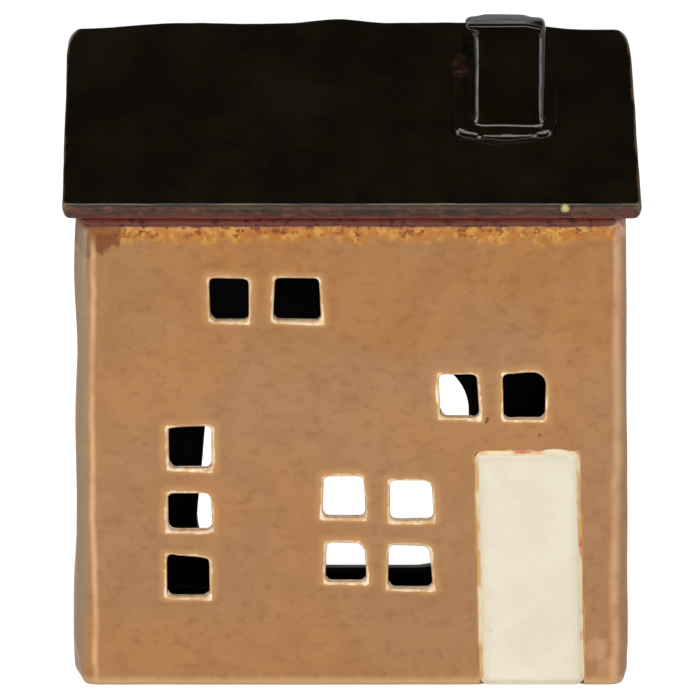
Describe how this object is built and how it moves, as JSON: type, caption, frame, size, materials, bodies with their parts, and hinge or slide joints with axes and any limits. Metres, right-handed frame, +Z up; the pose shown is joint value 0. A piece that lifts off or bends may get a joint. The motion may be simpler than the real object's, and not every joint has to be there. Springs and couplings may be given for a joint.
{
  "type": "tealight house",
  "caption": "Slab-built glazed stoneware house with a saddle roof, chimney, hand-cut windows, door and a rear opening for a tealight.",
  "frame": {"origin": "middle of the flat underside, on the surface that the house stands on", "axes": "+X to the right seen from the front along the ridge, +Y from the front wall to the rear wall, +Z up"},
  "size_m": [0.13, 0.088, 0.15],
  "materials": {
    "house_glaze": "mottled tan gloss glaze that breaks to cream at the edges, black-brown inside",
    "door_glaze": "cream gloss glaze",
    "roof_glaze": "near-black gloss glaze that thins to plum brown at the edges",
    "cup_foil": "bright pressed foil",
    "tab_steel": "tin-plated",
    "wick_cotton": "waxed braided cotton",
    "wax": "translucent white paraffin wax"
  },
  "bodies": {
    "house": {"base_slab": "house_glaze", "front_wall": "house_glaze", "rear_wall": "house_glaze", "left_gable_wall": "house_glaze", "right_gable_wall": "house_glaze", "door_panel": "door_glaze", "front_roof_slab": "roof_glaze", "rear_roof_slab": "roof_glaze", "chimney": "roof_glaze", "chimney_coil": "roof_glaze"},
    "tealight": {"tealight_cup": "cup_foil", "wick_tab": "tab_steel", "tealight_wick": "wick_cotton", "tealight_wax": "wax"}
  },
  "joints": [
    {"name": "tealight_way_out", "type": "slide", "parent": "house", "child": "tealight", "axis": [-0.6667, 0.6667, 0.3333], "range_m": [0, 0.102]}
  ]
}
